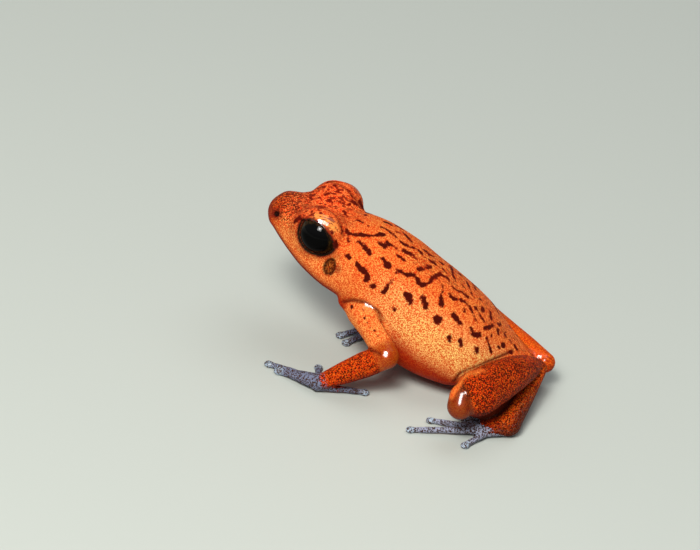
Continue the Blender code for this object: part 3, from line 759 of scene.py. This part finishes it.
mark = np.full(count, 1.0)


def add_mark(width, corners):
    """Lowers the distance to the nearest mark round one fleck."""
    near, close = near_path(bowed(corners, 0.12, 6 * len(corners)), 0.8)
    mark[near] = np.minimum(mark[near], close - width / 2.0)


for width, *places in MARKS:
    pairs = list(zip(places[0::2], places[1::2]))
    add_mark(width, [on_skin(*pair) for pair in pairs])
    if np.mean([pair[1] for pair in pairs]) > 24.0:
        slide = chance.uniform(-0.25, 0.25)
        swing = chance.uniform(0.92, 1.08)
        add_mark(width, [on_skin(pair[0] + slide, -pair[1] * swing) for pair in pairs])
# the small dots down the upper arms: width and place
ARM_DOTS = (
    (0.26, 2.73, -12.75, 5.05), (0.14, 3.04, -12.0, 5.24), (0.10, 3.53, -11.77, 4.92),
    (0.11, 3.78, -11.58, 4.77), (0.10, 4.10, -11.30, 4.63), (0.11, 4.29, -10.98, 4.59),
    (0.13, 4.55, -10.74, 4.45), (0.11, 4.68, -11.07, 4.06), (0.11, 5.09, -10.37, 4.17),
)
for width, *place in ARM_DOTS:
    place = np.array(place)
    add_mark(width, (place, place + 0.03))
    place = (place - ARM["left"][1]) * (-1, 1, 1) + ARM["right"][1]
    add_mark(width, (place, place + 0.03))


def near_limb(path, radii, reach):
    """How surely each point belongs to a limb: 1 on its skin, 0 a reach away from it."""
    return fall(0.06, reach, limb(path, radii)[2](points))


def widen(share, more):
    """Keeps the larger of two shares at each point."""
    np.maximum(share, more, out=share)


def along_limb(start, end):
    """How far each point lies beyond the end of a bone, in millimetres."""
    bone = np.array(end) - start
    return (points - end) @ (bone / norm(bone))


on_arm, on_elbow, on_thigh, on_knee, on_shank, on_tarsus = np.zeros((6, count))
speckled, shine, pale, outer_edge = np.zeros((4, count))
hand = np.full(count, -1.0)
for side, sign in SIDES.items():
    # forearm, shank and tarsus are speckled, and elbow and knee are barer and shine a little
    shoulder, middle, elbow, wrist = ARM[side]
    heel, _middle, ankle = np.array(TARSUS[side])
    fore = near_limb(bowed((elbow, wrist), 0.0), FOREARM_RADII, 0.25)
    widen(on_arm, near_limb(bowed((shoulder, middle, elbow), 0.6), UPPER_ARM_RADII, 0.25))
    widen(speckled, fore * climb(0.35, 0.75, -along_limb(wrist, elbow)))
    knob = fall(0.80, 1.25, gap_to(elbow))
    widen(on_elbow, knob)
    widen(on_thigh, near_limb(bowed(THIGH[side], 1.5), THIGH_RADII, 0.40))
    shank = near_limb(bowed(SHANK[side], 1.5), SHANK_RADII[side], 0.80)
    widen(on_shank, near_limb(bowed(SHANK[side], 1.5), SHANK_RADII[side], 0.30))
    tarsus = near_limb(bowed(TARSUS[side], 1.0), TARSUS_RADII, 0.30)
    widen(on_tarsus, tarsus)
    widen(tarsus, near_limb(bowed((ankle, SOLE[side]), 0.0), FOOT_RADII, 0.30))
    widen(speckled, np.maximum(shank, tarsus))
    front_of_leg = np.cross((ankle - heel) / norm(ankle - heel), (0.0, 0.0, 1.0)) * sign
    edge_on = climb(-0.05, 0.70, -(normals @ front_of_leg)) * fall(1.3, 2.6, points[:, 2])
    widen(outer_edge, tarsus * edge_on)
    knee_cap = near_limb(KNEE_CAP[side], KNEE_CAP_RADII, 0.26)
    widen(on_knee, knee_cap)
    speckled *= 1.0 - 0.65 * knee_cap * fall(3.5, 4.1, points[:, 2])
    widen(shine, np.maximum(knob, knee_cap))
    # the blue of the hand starts at the wrist, and that of the foot at the ankle
    near_hand = norm(points[:, :2] - KNUCKLES[side][:2], axis=1) < 3.6
    near, close = near_path((wrist, KNUCKLES[side]), 1.1)
    on_palm = np.zeros(count, dtype=bool)
    on_palm[near[close < 1.1]] = True
    near_hand &= (points[:, 2] < 0.75) | on_palm
    hand = np.where(near_hand, np.maximum(hand, along_limb(elbow, wrist) + 0.12), hand)
    reach_foot = along_limb(ankle, SOLE[side]) + 0.55
    for tip in TOES[side] + (TARSUS[side][2][:2],):
        near, close = near_path((SOLE[side], (*tip, 0.2)), 0.85)
        near = near[(close < 0.8) & (points[near, 2] < 0.95)]
        hand[near] = np.maximum(hand[near], reach_foot[near])
    for start, tip in ((wrist, FINGERS[side][-1]), (ankle, TOES[side][-1])):
        near, close = near_path(((start[0], start[1], 0.3), (*tip, 0.15)), 0.42)
        near = near[(close < 0.42) & (points[near, 2] < 0.50)]
        hand[near] = np.maximum(hand[near], 0.3)
    for tip in FINGERS[side] + TOES[side]:
        gap = gap_to((*tip, 0.15))
        hand = np.where(gap < 1.2, np.maximum(hand, 0.5), hand)
        widen(pale, fall(0.15, 0.55, gap))
# the right shank is smooth and shining where it shows beside the back
right_shank = near_limb(bowed(SHANK["right"], 1.5), SHANK_RADII["right"], 0.25)
right_shank *= climb(-4.2, -2.2, points[:, 1])
speckled *= 1.0 - 0.75 * right_shank
widen(shine, 0.45 * right_shank)
# where brow, side and snout shine a little: distance behind the snout, angle and reach
GLOSSY = ((4.62, 42, 0.75), (9.57, 87, 0.75), (1.0, 20, 0.5))
for distance_at, turn_at, reach_at in GLOSSY:
    for sign in SIDES.values():
        gap = gap_to(on_skin(distance_at, sign * turn_at))
        widen(shine, fall(0.5 * reach_at, reach_at, gap))
shine = np.maximum(0.40 * shine, np.maximum(wet, 0.6 * pale))
hand = np.clip(hand, -1.0, 1.0)


BACK = (0.95, 0.180, 0.027)
# the flanks' tones: the first partly the skin's own colour and partly painted light, the second painted light
FLANK_TONE_AND_LIGHT = (0.99, 0.305, 0.070)
FLANK_PAINTED_LIGHT = (1.0, 0.42, 0.098)
# the belly's tone: partly the skin's own colour, partly painted shade
BELLY_TONE_AND_SHADE = (0.48, 0.030, 0.002)
# painted shade under the jaw and throat
THROAT_SHADE = (0.20, 0.010, 0.003)
HEAD = (0.97, 0.135, 0.024)
CHEEK_TONE = (0.95, 0.225, 0.042)
SNOUT_TONE = (0.78, 0.098, 0.010)
# painted shade at the snout's tip and on its front, and the way that front faces
SNOUT_TIP_SHADE = (0.34, 0.020, 0.003)
SNOUT_FRONT_SHADE = (0.26, 0.012, 0.003)
SNOUT_SHADE_WAY = (0.13, -0.98, -0.17)
THIGH_TONE = (0.95, 0.180, 0.028)
ARM_TONE = (0.98, 0.235, 0.042)
LIMB_TONE = (0.74, 0.066, 0.003)
BARE_SHANK = (0.86, 0.105, 0.006)
TARSUS_TONE = (0.78, 0.100, 0.005)
# painted shade under the limbs and in the gap under the knee
UNDERSIDE_SHADE = (0.22, 0.010, 0.003)
UNDER_KNEE_SHADE = (0.085, 0.006, 0.002)
OUTER_EDGE = (0.10, 0.018, 0.003)
# painted light round the brow's wet ridge
BROW_PAINTED_LIGHT = (1.0, 0.34, 0.060)
ELBOW = (0.42, 0.056, 0.002)
KNEE = (0.27, 0.036, 0.002)
KNEE_EDGE_TONE = (0.95, 0.185, 0.024)
KNEE_EDGE = (
    (8.25, -5.25, 3.6), (8.05, -5.11, 4.01), (7.42, -4.90, 4.28), (7.09, -4.50, 4.71), (7.11, -4.08, 4.91),
    (6.79, -3.85, 4.92),
)
HAND_BLUE = (0.20, 0.22, 0.32)
FOOT_BLUE = (0.38, 0.40, 0.52)
DISC = (0.42, 0.52, 0.62)
# painted shade in hollows and folds
CREASE_SHADE = (0.12, 0.008, 0.002)
NOSTRIL_RING = (0.24, 0.012, 0.004)
# painted shade in the nostrils' pits
NOSTRIL_PIT_SHADE = (0.008, 0.004, 0.003)
LID_SHADE = (0.30, 0.012, 0.003)
LID_RIM = (0.012, 0.006, 0.002)
EAR_SKIN = (0.34, 0.070, 0.006)
EAR_FRONT = (0.035, 0.014, 0.003)
EAR_REAR = (0.06, 0.006, 0.002)
BEHIND_EAR = (0.24, 0.008, 0.002)
BEHIND_EAR_PLACE = (1.84, -14.14, 7.06)
side_on = np.abs(angle)
tone = np.tile(BACK, (count, 1))
hand_tone = np.tile(HAND_BLUE, (count, 1))


def paint(colour, share, under=tone):
    """Lays a colour over what is there, by a share for each point."""
    under += (colour - under) * np.clip(share, 0.0, 1.0)[:, None]


# the flanks lighter: partly the skin's own colour, partly painted light
paint(FLANK_TONE_AND_LIGHT, climb(30.0, 58.0, side_on) * climb(7.3, 11.3, distance))
# painted light: a brighter, yellower band on the flanks towards the back
flank_light_share = climb(50.0, 66.0, side_on) * fall(78.0, 93.0, side_on)
paint(FLANK_PAINTED_LIGHT, 0.9 * flank_light_share * climb(10.5, 13.0, distance))
paint(HEAD, fall(3.5, 7.5, distance))
paint(CHEEK_TONE, climb(52.0, 74.0, side_on) * fall(6.0, 9.0, distance))
paint(SNOUT_TONE, fall(0.7, 2.0, distance))
# the belly darker red: partly the skin's own colour, partly painted shade
paint(BELLY_TONE_AND_SHADE, climb(82.0, 102.0, side_on) * climb(6.5, 10.0, distance))
paint(BELLY_TONE_AND_SHADE, climb(94.0, 112.0, side_on))
# painted shade under the jaw and throat
paint(THROAT_SHADE, 0.8 * climb(102.0, 120.0, side_on) * fall(7.0, 10.0, distance))
# painted shade at the snout's tip, and on its front where the skin faces forward
paint(SNOUT_TIP_SHADE, 0.7 * fall(0.15, 1.0, distance))
snout_shade = climb(0.72, 0.97, normals @ SNOUT_SHADE_WAY)
paint(SNOUT_FRONT_SHADE, 0.75 * snout_shade * fall(2.0, 4.0, distance))
paint(THIGH_TONE, on_thigh)
paint(ARM_TONE, on_arm)
paint(LIMB_TONE, speckled)
paint(LIMB_TONE, speckled * on_shank)
paint(TARSUS_TONE, speckled * on_tarsus)
paint(BARE_SHANK, right_shank)
# painted shade on the undersides of the speckled limbs and thighs, and low on the thigh in the gap under the
# knee
paint(UNDERSIDE_SHADE, 0.8 * (climb(0.15, 0.65, -normals[:, 2]) * np.maximum(speckled, on_thigh)))
paint(UNDER_KNEE_SHADE, 0.95 * (on_thigh * (1.0 - on_shank) * fall(1.9, 2.6, points[:, 2])))
freckled = fall(4.2, 7.2, distance) * fall(40.0, 62.0, side_on)
widen(freckled, 0.55 * fall(15.0, 32.0, side_on) * climb(8.0, 11.0, distance))
widen(speckled, fall(1.6, 3.6, distance) * fall(60, 95, side_on))
paint(OUTER_EDGE, 0.85 * outer_edge)
brow_light, knee_edge = np.zeros((2, count))
# painted light round the wet ridge on the brow
near, close = near_path(BROW_RIDGE, 0.9)
brow_light[near] = fall(0.15, 0.70, close)
paint(BROW_PAINTED_LIGHT, 0.8 * brow_light)
paint(ELBOW, on_elbow)
paint(KNEE, on_knee)
near, close = near_path(KNEE_EDGE, 0.6)
knee_edge[near] = fall(0.12, 0.50, close)
paint(KNEE_EDGE_TONE, knee_edge)
speckled *= 1.0 - 0.7 * knee_edge
paint(FOOT_BLUE, climb(-9.5, -8.0, points[:, 1]), hand_tone)
paint(DISC, pale, hand_tone)
# painted shade in the skin's hollows, but not on hands and feet, and in the folds
paint(CREASE_SHADE, 0.85 * climb(0.05, 0.30, hollow) * fall(-0.04, 0.08, hand))
paint(CREASE_SHADE, fold_shade)

nostril_gap = np.full(count, FAR_AWAY)
for nostril in over_skin((NOSTRIL, (NOSTRIL[0], -NOSTRIL[1]))):
    nostril_gap = np.minimum(nostril_gap, gap_to(nostril))
paint(NOSTRIL_RING, 0.9 * fall(0.24, 0.62, nostril_gap))
# painted shade in the nostrils' pits
paint(NOSTRIL_PIT_SHADE, fall(0.19, 0.29, nostril_gap))
lid_edge = np.full(count, FAR_AWAY)
for lid_opening in LID_FIELDS:
    radius, aside = lid_opening(points)
    lid_edge = np.minimum(lid_edge, np.hypot(aside - 0.04, radius - EYE_RADIUS - 0.08))
paint(LID_SHADE, 0.75 * fall(0.14, 0.34, lid_edge))
paint(LID_RIM, fall(0.09, 0.15, lid_edge))
widen(shine, 0.3 * fall(0.10, 0.22, lid_edge))
paint(EAR_SKIN, 0.9 * fall(0.85, 1.05, ear_level))
ear_front = np.exp(-((ear_level - 0.92) / 0.20) ** 2) * fall(EAR[0] - 0.1, EAR[0] + 0.3, distance)
paint(EAR_FRONT, 0.95 * ear_front)
paint(EAR_REAR, 0.9 * (climb(0.0, 0.7, ear_aft) * fall(0.95, 1.25, ear_level)))
speckled = np.where(ear_level < 1.0, 1.0, speckled)
paint(BEHIND_EAR, 0.75 * fall(0.05, 0.44, gap_to(BEHIND_EAR_PLACE)))

mesh.vertices.foreach_set("co", to_scene(points).astype(np.float32).ravel())
mesh.update()
mesh.validate()
SHARES = {"mark": mark, "speckled": speckled, "hand": hand, "shine": shine, "freckled": freckled,
          "outer_edge": outer_edge, "on_shank": on_shank}
for name, values in SHARES.items():
    layer = mesh.attributes.new(name, "FLOAT", "POINT")
    layer.data.foreach_set("value", values.astype(np.float32))
for name, colours in (("tone", tone), ("hand_tone", hand_tone)):
    layer = mesh.attributes.new(name, "FLOAT_COLOR", "POINT")
    layer.data.foreach_set("color", np.column_stack((colours, np.ones(count))).astype(np.float32).ravel())


def new_finish(name, rough, reflect=1.45):
    """A material, its node tree and its shader. The helpers below add nodes to the newest tree."""
    finish = bpy.data.materials.new(name)
    finish.use_nodes = True
    shader = finish.node_tree.nodes["Principled BSDF"]
    shader.inputs["Roughness"].default_value = rough
    shader.inputs["IOR"].default_value = reflect
    return finish, finish.node_tree, shader


def feed(socket, value):
    """Links another node's output to a socket, or sets a plain value on it."""
    if isinstance(value, bpy.types.NodeSocket):
        tree.links.new(value, socket)
    else:
        socket.default_value = value


def add(kind, **values):
    """A new node with its settings and inputs."""
    node = tree.nodes.new(kind)
    for key, value in values.items():
        if hasattr(node, key):
            setattr(node, key, value)
        else:
            feed(node.inputs[key.replace("_", " ")], value)
    return node


def read(name, output="Fac"):
    """One of the mesh's attributes."""
    return add("ShaderNodeAttribute", attribute_name=name).outputs[output]


def noise(place, scale, detail, rough):
    """A cloudy noise between 0 and 1."""
    return add("ShaderNodeTexNoise", Vector=place, Scale=scale, Detail=detail, Roughness=rough).outputs["Fac"]


def spots(place, scale):
    """Small cells: the distance from each cell's middle, and one chance for each cell."""
    node = add("ShaderNodeTexVoronoi", feature="F1", Vector=place, Scale=scale, Randomness=1.0)
    return node.outputs["Distance"], add("ShaderNodeSeparateColor", Color=node.outputs["Color"]).outputs[0]


def ease(value, low, high, start=0.0, end=1.0):
    """From start to end as the value goes from low to high, with an easy turn."""
    node = add("ShaderNodeMapRange", interpolation_type="SMOOTHSTEP", From_Min=low, From_Max=high,
               To_Min=start, To_Max=end, Value=value)
    return node.outputs["Result"]


def maths(operation, a, b):
    """One sum of two values."""
    node = add("ShaderNodeMath", operation=operation)
    feed(node.inputs[0], a)
    feed(node.inputs[1], b)
    return node.outputs[0]


def plus(a, b):
    return maths("ADD", a, b)


def times(a, b):
    return maths("MULTIPLY", a, b)


def wobble(value, size):
    """A noise turned into an even swing about nothing."""
    return times(maths("SUBTRACT", value, 0.5), size)


def blend(share, a, b, way="MIX"):
    """Colour b laid over colour a by a share."""
    node = add("ShaderNodeMix", data_type="RGBA", blend_type=way)
    for index, value in ((0, share), (6, a), (7, b)):
        feed(node.inputs[index], value)
    return node.outputs[2]


# the skin's finish: fine granules, streaks on the head, dots on the limbs, flecks with wavy edges,
# and netting on hands and feet. A scale is in cells to the metre
DARK_GRAIN = (0.76, 0.30, 0.20, 1.0)
# the lighter granules are partly the skin's own grain and partly painted glints
LIGHT_GRAIN_AND_GLINT = (1.18, 2.2, 2.8, 1.0)
REDDER = (0.95, 0.66, 0.6, 1.0)
STREAK = (0.17, 0.006, 0.003, 1.0)
LIMB_DOT = (0.045, 0.005, 0.001, 1.0)
PALE_FLECK = (0.15, 0.13, 0.16, 1.0)
MARK_EDGE = (0.22, 0.006, 0.002, 1.0)
MARK_DARK = (0.030, 0.002, 0.001, 1.0)
MARK_LIGHT = (0.110, 0.006, 0.001, 1.0)
HEAD_MARK = (0.20, 0.010, 0.003, 1.0)
NETTING = (0.060, 0.026, 0.014, 1.0)
skin_finish, tree, shader = new_finish("frog_skin", 0.42)
place = add("ShaderNodeTexCoord").outputs["Object"]
tone_in = read("tone", "Color")
hand_tone_in = read("hand_tone", "Color")
mark_in, speckled_in, hand_in, shine_in, freckled_in, outer_in, shank_in = [read(name) for name in SHARES]
granules, granule_chance = spots(place, 19500.0)
dots, dot_chance = spots(place, 10500.0)
grain = noise(place, 14500.0, 2.0, 0.65)
cloud = noise(place, 900.0, 2.0, 0.55)
edge_noise = noise(place, 4200.0, 3.0, 0.7)
swell = noise(place, 1700.0, 1.0, 0.5)
drawn = add("ShaderNodeMapping", Vector=place, Rotation=(0.0, 0.0, radians(HEAD_YAW)), Scale=(2.1, 0.60, 1.5))
streaks = noise(drawn.outputs[0], 3300.0, 2.0, 0.55)

dome = maths("SUBTRACT", 0.45, times(granules, 0.63))
mix = plus(plus(times(grain, 0.3), times(granule_chance, 0.5)), dome)
matt = ease(shine_in, 0.0, 1.0, 1.0, 0.30)
dark_tone = blend(1.0, tone_in, DARK_GRAIN, "MULTIPLY")
# lighter granules: partly the skin's own grain, partly painted glints
grain_and_glint_tone = blend(1.0, tone_in, LIGHT_GRAIN_AND_GLINT, "MULTIPLY")
body = blend(matt, tone_in, blend(ease(mix, 0.40, 0.82), dark_tone, grain_and_glint_tone))
redder = blend(1.0, body, REDDER, "MULTIPLY")
body = blend(ease(cloud, 0.42, 0.62, 0.0, 0.35), body, redder)
streak_share = times(times(ease(streaks, 0.535, 0.575), freckled_in), 0.9)
body = blend(streak_share, body, STREAK)
dot_reach = plus(plus(dots, times(dot_chance, 0.40)), times(grain, 0.30))
dot_reach = maths("SUBTRACT", dot_reach, times(shank_in, 0.10))
dot_share = times(times(ease(dot_reach, 0.70, 0.90, 1.0, 0.0), speckled_in), 0.95)
body = blend(dot_share, body, LIMB_DOT)
fleck_share = times(ease(granule_chance, 0.80, 0.86), times(outer_in, 0.35))
body = blend(fleck_share, body, PALE_FLECK)
wavy_mark = plus(plus(mark_in, wobble(edge_noise, 0.40)), wobble(swell, 0.40))
body = blend(ease(wavy_mark, -0.035, 0.045, 0.85, 0.0), body, MARK_EDGE)
core = blend(times(freckled_in, 0.6), blend(grain, MARK_DARK, MARK_LIGHT), HEAD_MARK)
body = blend(ease(wavy_mark, -0.075, -0.015, 1.0, 0.0), body, core)
hand_colour = blend(ease(dot_reach, 0.74, 0.96, 1.0, 0.0), hand_tone_in, NETTING)
hand_noise = plus(wobble(edge_noise, 1.6), wobble(granule_chance, 0.5))
hand_share = ease(plus(hand_in, hand_noise), -0.06, 0.08)
height = plus(times(granules, -0.8), grain)
bump = add("ShaderNodeBump", Strength=0.8, Distance=0.00007, Height=times(height, matt))
for name, value in (
    ("Base Color", blend(hand_share, body, hand_colour)),
    ("Roughness", plus(ease(shine_in, 0.0, 1.0, 0.55, 0.24), wobble(grain, 0.16))),
    ("Coat Weight", ease(shine_in, 0.1, 1.0, 0.0, 0.85)),
    ("Coat Roughness", 0.12),
    ("Coat IOR", 1.5),
    ("Specular IOR Level", 0.05),
    ("Subsurface Weight", 0.05),
    ("Subsurface Radius", (1.0, 0.25, 0.12)),
    ("Subsurface Scale", 0.0003),
    ("Normal", bump.outputs["Normal"]),
):
    feed(shader.inputs[name], value)
mesh.materials.append(skin_finish)
flesh = [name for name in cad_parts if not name.startswith("eye")]
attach(skin, "root")
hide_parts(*flesh)

# ---- the eyes ----
# Each eye is a dark, wet ball that the lids close over, with a brown ring round its black pupil. It
# reflects most in its upper part, and hardly at all below its middle.
IRIS_DARK = (0.010, 0.006, 0.002, 1.0)
IRIS_BROWN = (0.032, 0.016, 0.004, 1.0)
PUPIL = (0.002, 0.002, 0.002, 1.0)
EYE_SIDE = (0.008, 0.006, 0.004, 1.0)
eye_finish, tree, shader = new_finish("frog_eye", 0.04, 1.36)
rise = read("rise")
gaze = read("gaze")
place = add("ShaderNodeTexCoord").outputs["Object"]
fleck = noise(place, 5200.0, 3.0, 0.6)
iris = blend(ease(fleck, 0.40, 0.62), IRIS_DARK, IRIS_BROWN)
colour = blend(ease(plus(gaze, wobble(fleck, 5.0)), 47.0, 53.0), PUPIL, iris)
feed(shader.inputs["Base Color"], blend(ease(gaze, 66.0, 78.0), colour, EYE_SIDE))
feed(shader.inputs["Specular IOR Level"], ease(rise, 0.12, 0.55, 0.025, 0.34))
for side in SIDES:
    middle = to_scene(body_place(*EYE[side]))
    bpy.ops.object.select_all(action="DESELECT")
    bpy.ops.mesh.primitive_uv_sphere_add(segments=64, ring_count=48, radius=EYE_RADIUS * MM, location=middle)
    ball = bpy.context.object
    ball.name = "eyeball_" + side
    bpy.ops.object.transform_apply(location=True, rotation=True, scale=True)
    bpy.ops.object.shade_smooth()
    gaze_layer = ball.data.attributes.new("gaze", "FLOAT", "POINT")
    rise_layer = ball.data.attributes.new("rise", "FLOAT", "POINT")
    for vertex in ball.data.vertices:
        offset = np.array(vertex.co) - middle
        offset /= norm(offset)
        rise_layer.data[vertex.index].value = offset[2]
        gaze_layer.data[vertex.index].value = np.degrees(np.arccos(np.clip(offset @ GAZE[side], -1.0, 1.0)))
    ball.data.materials.append(eye_finish)
    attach(ball, "root")
    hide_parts("eye_" + side)
